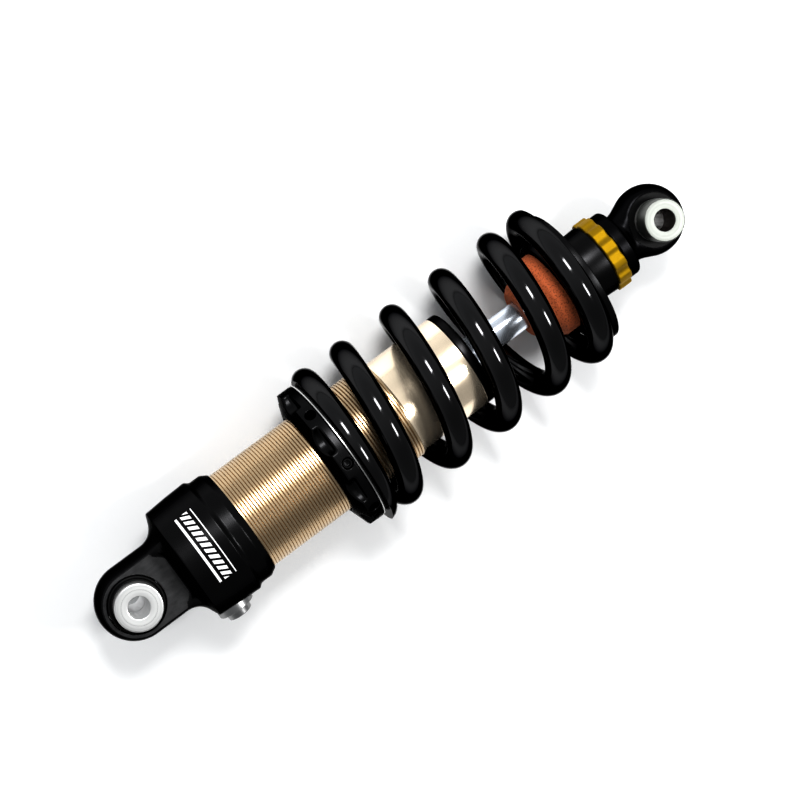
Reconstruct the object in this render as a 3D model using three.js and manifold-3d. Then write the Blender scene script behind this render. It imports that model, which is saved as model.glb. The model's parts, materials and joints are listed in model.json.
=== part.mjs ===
// Rear shock absorber of a motorcycle, in millimetres. The damper lies along X. The origin is the centre of
// the body-end eye, the rod-end eye is at X = EYE_TO_EYE, and both eye bolts run along Z.
import * as THREE from "three";
import { mergeVertices } from "three/addons/utils/BufferGeometryUtils.js";
import Module from "manifold-3d";

// ---- driving dimensions ----
const EYE_TO_EYE = 295;
const GAP = 0.3; // clearance left between neighbouring pieces
const BOLT_BORE = 5; // radius of the bore in both eye sleeves

const LUG = { radius: 17.8, faceRadius: 15.4, half: 11, eye: 13.2, end: 24 };
const CAP = { back: 22.5, backRadius: 17.5, start: 26.9, startRadius: 28.1, end: 48.6, radius: 29.3 };
const NECK = { start: 50.6, radius: 27.7, round: 56.2, end: 59.5, lipRadius: 25.6 };
const GAS = { wall: 32, radius: 21 }; // end wall and radius of the gas space inside the cap
const PLUG = { x: 35.3, shank: 4.5, head: 8.75, top: 6, seat: 26.7, step: 30.6, end: 33.9, key: 2.5 };
const PLUG_SEAL = { seat: 25.2, radius: 6.3, section: 0.6 };

const TUBE = { start: 42.2, end: 182, spigot: 24.4, thread: 25, plain: 23.7, bore: 22, threadEnd: 146 };
const FLOATING = { start: 62, end: 72, radius: 21.7 };
const FLOATING_GROOVE = { inset: 3, depth: 2.4 };
const SEAL_HEAD = { start: 159, end: 186.5, radius: 21.7, flange: 23.7, bevel: 1.2, bore: 7.6 };
const GROOVE = { start: 168, end: 171, radius: 19.8 }; // for the ring that seals the head in the tube
const BUSH_SEAT = { start: 162, end: 174, radius: 9.3 };
const SEAL_SEAT = { start: 176, end: 180, radius: 10.8 };
const WIPER_SEAT = { start: 182.6, radius: 10.5, proud: 0.6 };
const HEAD_O_RING = { mean: 20.95, section: 0.8 };
const TUBE_O_RING = { behind: 1.4, mean: 23.2, section: 1.05 };

const ROD = { start: 122, shoulder: 150, end: 278.6, radius: 7, tail: 5, bore: 2.6 };
const PISTON = { start: 134.3, end: 146.3, radius: 21.4 };
const PISTON_BAND = { inset: 3, depth: 1.2, proud: 0.3 };
const NUT = { start: 124.2, end: 130.6, radius: 9 };

const RING = { front: 102.7, start: 106, end: 113, nose: 26.5, radius: 36, bore: 25.3, pockets: 8 };
const RING_HOLE = { x: 109.8, radius: 2.65 };
const WASHER = { start: 113.3, end: 114.9, radius: 35.9, bore: 25.4 };
const SPRING = { start: 115.2, end: 246.8, wire: 6, mean: 34, endPitch: 12.4, pitch: 28.4, tip: 2.4 };

const BUMP = { nose: 219, base: 242.6, radius: 20.5, noseRadius: 14 };
const SEAT = { cup: 238, start: 247.1, end: 250.3, radius: 34, spigot: 27, cupRadius: 24 };
const RETAINER = { start: 250.6, end: 263.8, radius: 17.5 };
const ADJUSTER = { start: 264.1, end: 271.1, radius: 18.5, bore: 12.8, flutes: 12 };
const PIN = { x: (ADJUSTER.start + ADJUSTER.end) / 2, radius: 1.2, half: 12.3, travel: 1.35, hole: 0.5 };
const NEEDLE = { start: 126, taper: 8, radius: 2.2, beyondPin: 4 };
const DETENT = { hole: 1.55, ball: 1.2, centre: 11.2 }; // ball pressed outwards by a coil spring
const DETENT_SPRING = { wire: 0.25, mean: 0.9, turns: 4, bottom: 7.8, top: 9.6 };

const ROD_END = { stem: 12.5, collar: 16.8, collarStart: 271.4, collarEnd: 277.6, neck: 11.6, head: 17 };
const ROD_EYE = {
  half: 9.5,
  bore: 13,
  ball: 10,
  ballHalf: 8,
  raceHalf: 6.5,
  sealBore: 10.6,
  spacer: 10,
  spacerHalf: 22.5,
};
const BODY_EYE = { shank: 8, bush: 8.3, bushHalf: 8, flange: 10.9, half: 19 };

const FINE = 24; // sides of a large round piece
const COARSE = 16; // sides of a small round piece

const wasm = await Module();
wasm.setup();

// ---- solids ----
// Turns a closed three.js geometry into a solid that can be joined and cut.
function solidOf(geometry) {
  const bare = geometry.index ? geometry.toNonIndexed() : geometry.clone();
  bare.deleteAttribute("normal");
  bare.deleteAttribute("uv");
  const merged = mergeVertices(bare, 1e-4);
  const triVerts = new Uint32Array(merged.index.array);
  return new wasm.Manifold(
    new wasm.Mesh({ numProp: 3, vertProperties: merged.attributes.position.array, triVerts }),
  );
}

function geometryOf(solid) {
  const mesh = solid.getMesh();
  const geometry = new THREE.BufferGeometry();
  geometry.setAttribute("position", new THREE.BufferAttribute(mesh.vertProperties, 3));
  geometry.setIndex(new THREE.BufferAttribute(mesh.triVerts, 1));
  return geometry;
}

// Revolves an outline of [place along the axis, radius] points. An outline off the axis closes on itself.
function revolve(outline, sides) {
  const points = outline.map(([along, radius]) => new THREE.Vector2(radius, along));
  if (THREE.ShapeUtils.area(points) < 0) points.reverse();
  if (points[0].x > 0 || points.at(-1).x > 0) points.push(points[0].clone());
  return new THREE.LatheGeometry(points, sides);
}

const turned = (outline, sides = FINE) => solidOf(revolve(outline, sides).rotateZ(-Math.PI / 2));
const turnedUp = (outline, sides = COARSE) => solidOf(revolve(outline, sides).rotateX(Math.PI / 2));

// A plain ring along X, from one place and radius to another.
const ring = (start, end, bore, radius, sides = FINE) =>
  turned([[start, bore], [start, radius], [end, radius], [end, bore]], sides);

// The same ring along the Z of an eye at X = centre, between two heights.
function eyeRing(centre, near, far, bore, radius) {
  const outline = [[near, bore], [near, radius], [far, radius], [far, bore]];
  return turnedUp(outline).translate([centre, 0, 0]);
}

// A round-section ring about X.
const oRing = (place, mean, section) => turned(arc(place, mean, section, 0, 300, 5));

// A round bar between two points.
function bar(from, to, radius, sides = 16) {
  const a = new THREE.Vector3(...from);
  const b = new THREE.Vector3(...to);
  const turn = new THREE.Quaternion().setFromUnitVectors(
    new THREE.Vector3(0, 1, 0),
    b.clone().sub(a).normalize(),
  );
  const geometry = new THREE.CylinderGeometry(radius, radius, a.distanceTo(b), sides);
  geometry.applyQuaternion(turn).translate(...a.add(b).multiplyScalar(0.5).toArray());
  return solidOf(geometry);
}

// A block between its lowest and highest corners.
function block(low, high) {
  const geometry = new THREE.BoxGeometry(...high.map((v, i) => v - low[i]));
  geometry.translate(...high.map((v, i) => (v + low[i]) / 2));
  return solidOf(geometry);
}

// Points of an arc from one angle to another, in degrees, as [along, radius] pairs.
function arc(along, height, radius, from, to, steps) {
  return Array.from({ length: steps + 1 }, (_, i) => {
    const a = THREE.MathUtils.degToRad(from + ((to - from) * i) / steps);
    return [along + radius * Math.cos(a), height + radius * Math.sin(a)];
  });
}

// The point at a radius and an angle round X. The angle starts at +Z and goes towards +Y.
function around(x, radius, degrees) {
  const a = THREE.MathUtils.degToRad(degrees);
  return [x, radius * Math.sin(a), radius * Math.cos(a)];
}

// ---- the object ----
const shock = new THREE.Group();

function add(name, solid, color, roughness, metalness) {
  const material = new THREE.MeshStandardMaterial({ color, roughness, metalness });
  const mesh = new THREE.Mesh(geometryOf(solid), material);
  mesh.name = name;
  shock.add(mesh);
}

const addBlack = (name, solid) => add(name, solid, 0x17181a, 0.35, 0.6);
const addSteel = (name, solid) => add(name, solid, 0xb9bcc0, 0.3, 1);
const addAlloy = (name, solid) => add(name, solid, 0xcfd1d2, 0.35, 1);
const addRubber = (name, solid) => add(name, solid, 0x101010, 0.7, 0);
const addBearing = (name, solid) => add(name, solid, 0x6f5a36, 0.5, 0.2);

// Body-end cap with its lug. The lug's sides bulge between its two flat faces.
function bodyCap() {
  const outline = new THREE.Shape();
  outline.moveTo(0, -LUG.faceRadius);
  outline.lineTo(LUG.end, -LUG.faceRadius);
  outline.lineTo(LUG.end, LUG.faceRadius);
  outline.lineTo(0, LUG.faceRadius);
  outline.absarc(0, 0, LUG.faceRadius, Math.PI / 2, (3 * Math.PI) / 2, false);
  const bulge = 8; // height over which each side rounds towards its face
  const lug = new THREE.ExtrudeGeometry(outline, {
    depth: 2 * (LUG.half - bulge),
    bevelThickness: bulge,
    bevelSize: LUG.radius - LUG.faceRadius,
    bevelSegments: 3,
    curveSegments: 14,
  }).translate(0, 0, bulge - LUG.half);

  const cup = turned([
    [CAP.back, 0],
    [CAP.back, CAP.backRadius],
    [CAP.start, CAP.startRadius],
    [(CAP.start + CAP.end) / 2, (CAP.startRadius + CAP.radius) / 2 + 0.2],
    [CAP.end, CAP.radius],
    [NECK.start, NECK.radius],
    [NECK.round, NECK.radius],
    [NECK.end - 1, NECK.lipRadius + 0.9],
    [NECK.end, NECK.lipRadius],
    [NECK.end, TUBE.spigot + GAP],
    [TUBE.start - 2.7, TUBE.spigot + GAP],
    [TUBE.start - 2.7, GAS.radius],
    [GAS.wall, GAS.radius],
    [GAS.wall, 0],
  ]);
  const eye = bar([0, 0, -LUG.half - 1], [0, 0, LUG.half + 1], LUG.eye, FINE);
  const port = bar([PLUG.x, -10, 0], [PLUG.x, -40, 0], PLUG.shank + GAP);
  const sealSeat = bar([PLUG.x, -PLUG_SEAL.seat, 0], [PLUG.x, -40, 0], PLUG_SEAL.radius, COARSE);
  const spotFace = bar([PLUG.x, -PLUG.seat, 0], [PLUG.x, -40, 0], PLUG.head + 0.4, COARSE);
  return solidOf(lug)
    .add(cup)
    .subtract(eye)
    .subtract(port)
    .subtract(sealSeat)
    .subtract(spotFace);
}

// Gas filling plug, screwed into the side of the cap along Y.
function gasPlug() {
  const outline = [
    [22, 0],
    [22, PLUG.shank],
    [PLUG.seat + GAP, PLUG.shank],
    [PLUG.seat + GAP, PLUG.head],
    [PLUG.step, PLUG.head],
    [PLUG.step, PLUG.top],
    [PLUG.end, PLUG.top - 0.5],
    [PLUG.end, PLUG.key],
    [PLUG.end - PLUG.key, PLUG.key],
    [PLUG.end - PLUG.key, 0],
  ];
  const along = solidOf(revolve(outline, COARSE).rotateX(Math.PI));
  return along.translate([PLUG.x, 0, 0]);
}

function gasPlugSeal() {
  const { seat, radius, section } = PLUG_SEAL;
  const mean = (PLUG.shank + radius) / 2;
  const seal = new THREE.TorusGeometry(mean, section, 6, COARSE).rotateX(Math.PI / 2);
  return solidOf(seal.translate(PLUG.x, -seat - section - 0.2, 0));
}

// Damper tube: a spigot inside the cap, the threaded length for the preload ring, then the plain end.
function damperTube() {
  return turned([
    [TUBE.start, TUBE.bore],
    [TUBE.start, TUBE.spigot],
    [NECK.end + GAP, TUBE.spigot],
    [NECK.end + GAP, TUBE.thread],
    [TUBE.threadEnd, TUBE.thread],
    [TUBE.threadEnd, TUBE.plain],
    [TUBE.end, TUBE.plain],
    [TUBE.end, TUBE.bore],
  ]);
}

// Floating piston between gas and oil, hollowed on the gas side, with a groove for its seal.
function floatingPiston() {
  const { start, end, radius } = FLOATING;
  const { inset, depth } = FLOATING_GROOVE;
  const wall = 5; // round the hollow
  const hollow = 6;
  return turned([
    [start + hollow, 0],
    [start + hollow, radius - wall],
    [start, radius - wall],
    [start, radius],
    [start + inset, radius],
    [start + inset, radius - depth],
    [end - inset, radius - depth],
    [end - inset, radius],
    [end, radius],
    [end, 0],
  ], COARSE);
}

// Head that closes the tube round the rod: it holds the bush, the oil seal and the wiper.
function sealHead() {
  const { start, end, radius, flange, bevel, bore } = SEAL_HEAD;
  return turned([
    [start, bore],
    [start, radius],
    [GROOVE.start, radius],
    [GROOVE.start, GROOVE.radius],
    [GROOVE.end, GROOVE.radius],
    [GROOVE.end, radius],
    [TUBE.end + GAP, radius],
    [TUBE.end + GAP, flange],
    [end - bevel, flange],
    [end, flange - bevel],
    [end, WIPER_SEAT.radius],
    [WIPER_SEAT.start, WIPER_SEAT.radius],
    [WIPER_SEAT.start, bore],
    [SEAL_SEAT.end, bore],
    [SEAL_SEAT.end, SEAL_SEAT.radius],
    [SEAL_SEAT.start, SEAL_SEAT.radius],
    [SEAL_SEAT.start, bore],
    [BUSH_SEAT.end, bore],
    [BUSH_SEAT.end, BUSH_SEAT.radius],
    [BUSH_SEAT.start, BUSH_SEAT.radius],
    [BUSH_SEAT.start, bore],
  ]);
}

// Hollow damper rod: a long polished shaft with a thinner tail for the piston and a slot for the pin.
function rod() {
  const shaft = turned(
    [
      [ROD.start, ROD.bore],
      [ROD.start, ROD.tail],
      [ROD.shoulder, ROD.tail],
      [ROD.shoulder, ROD.radius],
      [ROD.end, ROD.radius],
      [ROD.end, ROD.bore],
    ],
    COARSE,
  );
  return shaft.subtract(pinSlot(ROD.radius + 1));
}

// Slot along Y that the adjuster's cross pin slides in.
function pinSlot(half) {
  const length = PIN.radius + PIN.travel + 0.45;
  const width = PIN.radius + GAP;
  return block([PIN.x - length, -half, -width], [PIN.x + length, half, width]);
}

function mainPiston() {
  const { start, end, radius } = PISTON;
  const { inset, depth } = PISTON_BAND;
  const bore = ROD.tail + GAP;
  const body = turned([
    [start, bore],
    [start, radius],
    [start + inset, radius],
    [start + inset, radius - depth],
    [end - inset, radius - depth],
    [end - inset, radius],
    [end, radius],
    [end, bore],
  ], COARSE);
  const port = { radius: 2.2, circle: 12.5 };
  return [0, 60, 120, 180, 240, 300].reduce((solid, angle) => {
    const from = around(start - 1, port.circle, angle);
    return solid.subtract(bar(from, around(end + 1, port.circle, angle), port.radius, 8));
  }, body);
}

// A tapering stack of thin shims, widest against the piston.
function shimStack(wideFace, direction) {
  const bore = ROD.tail + GAP;
  const steps = [[0, 17], [1, 17], [1, 13], [2, 13], [2, 9], [3, 9]];
  return turned([
    [wideFace, bore],
    ...steps.map(([along, radius]) => [wideFace + direction * along, radius]),
    [wideFace + direction * 3, bore],
  ], COARSE);
}

function pistonNut() {
  const { start, end, radius } = NUT;
  const hexagon = new THREE.CylinderGeometry(radius, radius, end - start, 6).rotateZ(-Math.PI / 2);
  const bore = bar([start - 1, 0, 0], [end + 1, 0, 0], ROD.tail + GAP, COARSE);
  return solidOf(hexagon.translate((start + end) / 2, 0, 0)).subtract(bore);
}

// Preload ring: a cone towards the cap, eight pockets open at its front and a spanner hole in each land.
function preloadRing() {
  const { front, start, end, nose, radius, bore, pockets } = RING;
  const rim = 4; // width of the full rim left on the spring's side
  const pocket = { radius: 7.6, centre: radius + 2 };
  let solid = turned([[front, bore], [front, nose], [start, radius], [end, radius], [end, bore]], 40);
  for (let i = 0; i < pockets; i++) {
    const land = (360 / pockets) * i;
    const gap = land + 180 / pockets;
    const cutter = bar(
      around(front - 1, pocket.centre, gap),
      around(end - rim, pocket.centre, gap),
      pocket.radius,
      20,
    );
    const inside = around(RING_HOLE.x, bore - 3, land);
    const hole = bar(inside, around(RING_HOLE.x, radius + 4, land), RING_HOLE.radius, 12);
    solid = solid.subtract(cutter).subtract(hole);
  }
  return solid;
}

function lockScrew() {
  const radius = RING_HOLE.radius - GAP;
  const screw = bar([RING_HOLE.x, 0, RING.bore + 0.4], [RING_HOLE.x, 0, RING.radius - 0.6], radius, 12);
  return screw.subtract(bar([RING_HOLE.x, 0, RING.radius - 3], [RING_HOLE.x, 0, RING.radius], 1.3, 6));
}

// The spring's centre line. Its pitch grows smoothly from the closed end coils to the open ones.
class SpringLine extends THREE.Curve {
  constructor() {
    super();
    this.closed = 0.75; // turns of each closed end
    this.ramp = 0.75; // turns over which the pitch opens
    this.low = SPRING.start + SPRING.tip - SPRING.wire;
    this.high = SPRING.end - SPRING.tip + SPRING.wire;
    const end = this.fromEnd(this.closed + this.ramp);
    this.turns = 2 * (this.closed + this.ramp) + (this.high - this.low - 2 * end) / SPRING.pitch;
    this.phase = (2 * Math.PI) / 3; // the tip starts two thirds of the way from +Y to -Y, past -Z
  }

  // Distance along X after some turns from an end.
  fromEnd(turns) {
    const s = THREE.MathUtils.clamp((turns - this.closed) / this.ramp, 0, 1);
    const opened = this.ramp * (s ** 3 - s ** 4 / 2) + Math.max(0, turns - this.closed - this.ramp);
    return SPRING.endPitch * turns + (SPRING.pitch - SPRING.endPitch) * opened;
  }

  getPoint(t, target = new THREE.Vector3()) {
    const turns = t * this.turns;
    const half = this.turns / 2;
    const fromLow = turns < half;
    const x = fromLow ? this.low + this.fromEnd(turns) : this.high - this.fromEnd(this.turns - turns);
    const angle = this.phase + 2 * Math.PI * turns;
    return target.set(x, SPRING.mean * Math.cos(angle), -SPRING.mean * Math.sin(angle));
  }
}

// Coil spring of round wire with closed ends, ground flat where they meet the washer and the seat.
function spring() {
  const line = new SpringLine();
  const sides = 8;
  const section = new THREE.Shape(
    Array.from({ length: sides }, (_, i) => {
      const a = (2 * Math.PI * i) / sides;
      return new THREE.Vector2(SPRING.wire * Math.cos(a), SPRING.wire * Math.sin(a));
    }),
  );
  const steps = Math.round(line.turns * 16);
  const wire = new THREE.ExtrudeGeometry(section, { steps, extrudePath: line, bevelEnabled: false });
  const clear = SPRING.mean + 2 * SPRING.wire; // outside the coils
  return solidOf(wire).intersect(block([SPRING.start, -clear, -clear], [SPRING.end, clear, clear]));
}

// Foam bump stop: two soft ribs below a rounded nose.
function bumpStop() {
  const { nose, base, radius, noseRadius } = BUMP;
  const bore = ROD.radius + 0.4;
  return turned([
    [nose, bore],
    [nose, noseRadius - 2.5],
    [nose + 2.5, noseRadius],
    [nose + 7, noseRadius + 2],
    [nose + 9, noseRadius + 2],
    [nose + 13, radius],
    [base, radius],
    [base, bore],
  ]);
}

// Spring seat: a disc behind the spring and a cup inside it that holds the bump stop.
function springSeat() {
  const { cup, start, end, radius, spigot, cupRadius } = SEAT;
  return turned([
    [cup, BUMP.radius + GAP],
    [cup, cupRadius],
    [start - 3, spigot],
    [start, spigot],
    [start, radius],
    [end, radius],
    [end, ROD.radius + GAP],
    [BUMP.base + GAP, ROD.radius + GAP],
    [BUMP.base + GAP, BUMP.radius + GAP],
  ]);
}

function seatRetainer() {
  const { start, end, radius } = RETAINER;
  return turned([
    [start, ROD.radius + GAP],
    [start, radius - 2.5],
    [start + 2.5, radius - 0.6],
    [end, radius],
    [end, ROD.radius + GAP],
  ]);
}

// Rebound adjuster: a fluted ring that turns on the stem of the rod end.
function adjusterRing() {
  const { start, end, radius, bore, flutes } = ADJUSTER;
  let solid = turned([
    [start, bore],
    [start, radius - 0.6],
    [start + 0.6, radius],
    [end - 0.6, radius],
    [end, radius - 0.6],
    [end, bore],
  ], 36);
  const flute = { radius: 3.4, centre: radius + 2.3 };
  for (let i = 0; i < flutes; i++) {
    const angle = (360 / flutes) * i;
    const from = around(start - 1, flute.centre, angle);
    solid = solid.subtract(bar(from, around(end + 1, flute.centre, angle), flute.radius, 10));
  }
  return solid;
}

// Rod end: a stem for the adjuster ring, a collar, and a ball-shaped head bored for the spherical bearing.
function rodEnd() {
  const { stem, collar, collarStart, collarEnd, neck, head } = ROD_END;
  const headStart = Math.sqrt(head ** 2 - neck ** 2);
  const from = THREE.MathUtils.radToDeg(Math.atan2(neck, -headStart));
  const outer = turned([
    [ADJUSTER.start, 0],
    [ADJUSTER.start, stem],
    [collarStart, stem],
    [collarStart, collar],
    [collarEnd - 1.4, collar],
    [collarEnd, collar - 1.6],
    [EYE_TO_EYE - headStart - 0.6, neck],
    ...arc(EYE_TO_EYE, 0, head, from, 0, 10),
  ]);
  const socket = bar([ADJUSTER.start - 1, 0, 0], [ROD.end + GAP, 0, 0], ROD.radius + GAP, COARSE);
  const faces = block([EYE_TO_EYE - 25, -25, -ROD_EYE.half], [EYE_TO_EYE + 20, 25, ROD_EYE.half]);
  const back = block([ADJUSTER.start - 1, -25, -25], [collarEnd + 2.2, 25, 25]);
  const bore = bar([EYE_TO_EYE, 0, -20], [EYE_TO_EYE, 0, 20], ROD_EYE.bore, FINE);
  const detent = bar([PIN.x, 0, 0], [PIN.x, 0, stem + 1], DETENT.hole, 12);
  return outer
    .intersect(faces.add(back))
    .subtract(socket)
    .subtract(bore)
    .subtract(pinSlot(stem + 1))
    .subtract(detent);
}

// Centre line of the detent's spring.
class DetentLine extends THREE.Curve {
  getPoint(t, target = new THREE.Vector3()) {
    const { mean, turns, bottom, top } = DETENT_SPRING;
    const a = 2 * Math.PI * turns * t;
    return target.set(PIN.x + mean * Math.cos(a), mean * Math.sin(a), THREE.MathUtils.lerp(bottom, top, t));
  }
}

function detentSpring() {
  const { wire, turns } = DETENT_SPRING;
  const section = new THREE.Shape(
    [0, 90, 180, 270].map((d) => {
      const a = THREE.MathUtils.degToRad(d);
      return new THREE.Vector2(wire * Math.cos(a), wire * Math.sin(a));
    }),
  );
  const options = { steps: turns * 7, extrudePath: new DetentLine(), bevelEnabled: false };
  return solidOf(new THREE.ExtrudeGeometry(section, options));
}

function detentBall() {
  return solidOf(new THREE.SphereGeometry(DETENT.ball, 10, 8).translate(PIN.x, 0, DETENT.centre));
}

// Outer ring of the rod-end bearing, with a spherical seat for the ball.
function rodEndRace() {
  const seat = ROD_EYE.ball + GAP;
  const half = ROD_EYE.raceHalf;
  const inner = [-1, -0.5, 0, 0.5, 1].map((s) => [s * half, Math.sqrt(seat ** 2 - (s * half) ** 2)]);
  const outline = [...inner, [half, ROD_EYE.bore - GAP], [-half, ROD_EYE.bore - GAP]];
  return turnedUp(outline).translate([EYE_TO_EYE, 0, 0]);
}

function rodEndBall() {
  const half = ROD_EYE.ballHalf;
  const outline = [[-half, BOLT_BORE]];
  for (let i = 0; i <= 6; i++) {
    const z = -half + (2 * half * i) / 6;
    outline.push([z, Math.sqrt((ROD_EYE.ball - 0.15) ** 2 - z ** 2)]);
  }
  outline.push([half, BOLT_BORE]);
  return turnedUp(outline).translate([EYE_TO_EYE, 0, 0]);
}

// Steel spacer between the ball and the frame. side is 1 above the eye and -1 below it.
function rodEndSpacer(side) {
  const { ballHalf, spacer, spacerHalf } = ROD_EYE;
  return turnedUp([
    [side * (ballHalf + GAP), BOLT_BORE],
    [side * (ballHalf + GAP), 7.4],
    [side * (ROD_EYE.half + 2.6), spacer],
    [side * (spacerHalf - 0.6), spacer],
    [side * spacerHalf, spacer - 0.6],
    [side * spacerHalf, BOLT_BORE],
  ]).translate([EYE_TO_EYE, 0, 0]);
}

// Alloy half sleeve of the body-end eye, with its flange outside the lug.
function bodyEyeSleeve(side) {
  const { shank, flange, half } = BODY_EYE;
  return turnedUp([
    [side * 0.15, BOLT_BORE],
    [side * 0.15, shank],
    [side * (LUG.half + GAP), shank],
    [side * (LUG.half + GAP), flange],
    [side * (half - 0.7), flange],
    [side * half, flange - 0.7],
    [side * half, BOLT_BORE],
  ], FINE);
}

// Long needle inside the rod, pointed at the piston end and bored for the adjuster pin.
function reboundNeedle() {
  const { start, taper, radius, beyondPin } = NEEDLE;
  const end = PIN.x + beyondPin;
  const needle = turned([[start, 0], [start + taper, radius], [end, radius], [end, 0]], COARSE);
  return needle.subtract(bar([PIN.x, -radius - 1, 0], [PIN.x, radius + 1, 0], PIN.radius + GAP, 12));
}

// ---- assembly ----
addBlack("body_cap", bodyCap());
add("damper_tube", damperTube(), 0xb59a6a, 0.25, 1);
addAlloy("gas_plug", gasPlug());
addRubber("gas_plug_o_ring", gasPlugSeal());
addRubber(
  "tube_o_ring",
  oRing(TUBE.start - TUBE_O_RING.behind, TUBE_O_RING.mean, TUBE_O_RING.section),
);
addBearing(
  "body_eye_bush",
  eyeRing(0, -BODY_EYE.bushHalf, BODY_EYE.bushHalf, BODY_EYE.bush, LUG.eye - GAP),
);
for (const [end, side] of [["top", 1], ["bottom", -1]]) {
  const inner = side * (BODY_EYE.bushHalf + GAP);
  const outer = side * (LUG.half - 0.4);
  const seal = eyeRing(0, inner, outer, BODY_EYE.bush + GAP, LUG.eye - GAP);
  addRubber(`body_eye_seal_${end}`, seal);
  addAlloy(`body_eye_sleeve_${end}`, bodyEyeSleeve(side));
}

addAlloy("floating_piston", floatingPiston());
addRubber(
  "floating_piston_seal",
  ring(
    FLOATING.start + FLOATING_GROOVE.inset + GAP,
    FLOATING.end - FLOATING_GROOVE.inset - GAP,
    FLOATING.radius - FLOATING_GROOVE.depth + GAP,
    FLOATING.radius,
    COARSE,
  ),
);
addBlack("seal_head", sealHead());
addRubber(
  "seal_head_o_ring",
  oRing((GROOVE.start + GROOVE.end) / 2, HEAD_O_RING.mean, HEAD_O_RING.section),
);

// A ring round the rod that fills a seat of the seal head.
const aroundRod = ({ start, end, radius }) =>
  ring(start + GAP, end, ROD.radius + GAP, radius - GAP, COARSE);
addBearing("rod_bush", aroundRod({ ...BUSH_SEAT, end: BUSH_SEAT.end - GAP }));
addRubber("rod_seal", aroundRod({ ...SEAL_SEAT, end: SEAL_SEAT.end - GAP }));
addRubber("rod_wiper", aroundRod({ ...WIPER_SEAT, end: SEAL_HEAD.end + WIPER_SEAT.proud }));

addBlack("preload_ring", preloadRing());
addSteel("preload_lock_screw", lockScrew());
addSteel("thrust_washer", ring(WASHER.start, WASHER.end, WASHER.bore, WASHER.radius));
add("spring", spring(), 0x0c0c0e, 0.15, 0.1);

add("rod", rod(), 0xd6d9dd, 0.06, 1);
add("main_piston", mainPiston(), 0x9a9da1, 0.35, 1);
addBearing(
  "piston_band",
  ring(
    PISTON.start + PISTON_BAND.inset + GAP,
    PISTON.end - PISTON_BAND.inset - GAP,
    PISTON.radius - PISTON_BAND.depth + GAP,
    PISTON.radius + PISTON_BAND.proud,
    COARSE,
  ),
);
addSteel("compression_shims", shimStack(PISTON.start - GAP, -1));
addSteel("rebound_shims", shimStack(PISTON.end + GAP, 1));
addSteel("piston_nut", pistonNut());
addRubber(
  "top_out_bumper",
  ring(ROD.shoulder + 0.6, SEAL_HEAD.start - 0.5, ROD.radius + GAP, 11, COARSE),
);
add("bump_stop", bumpStop(), 0xb5613a, 0.9, 0);
addBlack("spring_seat", springSeat());
addBlack("seat_retainer", seatRetainer());
addBlack("rod_end", rodEnd());
addSteel("rod_end_race", rodEndRace());
addSteel("detent_spring", detentSpring());
addSteel("detent_ball", detentBall());

add("rebound_adjuster_ring", adjusterRing(), 0xdda60c, 0.35, 0.8);
addSteel(
  "adjuster_pin",
  bar([PIN.x, -PIN.half, 0], [PIN.x, PIN.half, 0], PIN.radius, 12).subtract(
    bar([PIN.x, 0, -PIN.radius - 1], [PIN.x, 0, PIN.radius + 1], PIN.hole, 8),
  ),
);
addAlloy("rebound_needle", reboundNeedle());

addSteel("rod_end_ball", rodEndBall());
for (const [end, side] of [["top", 1], ["bottom", -1]]) {
  const inner = side * (ROD_EYE.raceHalf + GAP);
  const outer = side * (ROD_EYE.half - GAP);
  const seal = eyeRing(EYE_TO_EYE, inner, outer, ROD_EYE.sealBore, ROD_EYE.bore - GAP);
  addRubber(`rod_end_seal_${end}`, seal);
  addSteel(`rod_end_spacer_${end}`, rodEndSpacer(side));
}

export default shock;
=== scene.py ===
"""Looks of a motorcycle's rear shock absorber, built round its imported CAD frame.

Shapes are worked out in millimetres and written in metres. X runs from the body-end eye to the
rod-end eye, and both eye bolts run along Z.
"""

import json
import math

import bmesh
import bpy
import numpy as np
from mathutils import Matrix, Vector


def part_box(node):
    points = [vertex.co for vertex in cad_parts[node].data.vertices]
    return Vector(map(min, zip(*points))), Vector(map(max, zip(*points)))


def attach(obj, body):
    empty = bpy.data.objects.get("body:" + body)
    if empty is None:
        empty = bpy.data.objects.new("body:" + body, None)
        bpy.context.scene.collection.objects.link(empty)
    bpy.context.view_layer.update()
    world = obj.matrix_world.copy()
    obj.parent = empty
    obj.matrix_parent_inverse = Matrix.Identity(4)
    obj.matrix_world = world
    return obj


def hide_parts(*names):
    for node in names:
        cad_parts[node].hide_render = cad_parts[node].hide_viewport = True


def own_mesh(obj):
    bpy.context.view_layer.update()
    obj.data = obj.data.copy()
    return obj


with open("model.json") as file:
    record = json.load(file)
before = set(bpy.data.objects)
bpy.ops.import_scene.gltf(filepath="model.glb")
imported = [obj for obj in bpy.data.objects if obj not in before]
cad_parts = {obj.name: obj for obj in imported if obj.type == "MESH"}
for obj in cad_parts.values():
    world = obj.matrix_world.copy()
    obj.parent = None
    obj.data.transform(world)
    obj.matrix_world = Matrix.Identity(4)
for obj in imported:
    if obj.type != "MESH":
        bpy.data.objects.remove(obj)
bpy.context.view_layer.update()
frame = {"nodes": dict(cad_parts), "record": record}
MM = 0.001

# ---- places in millimetres, some read from the frame ----


def span(node, axis=0):
    """Lowest and highest coordinate of a CAD node along one axis."""
    low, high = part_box(node)
    return low[axis] / MM, high[axis] / MM


def reach(node):
    """Radius of a CAD node turned about X."""
    return span(node, 2)[1]


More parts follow.
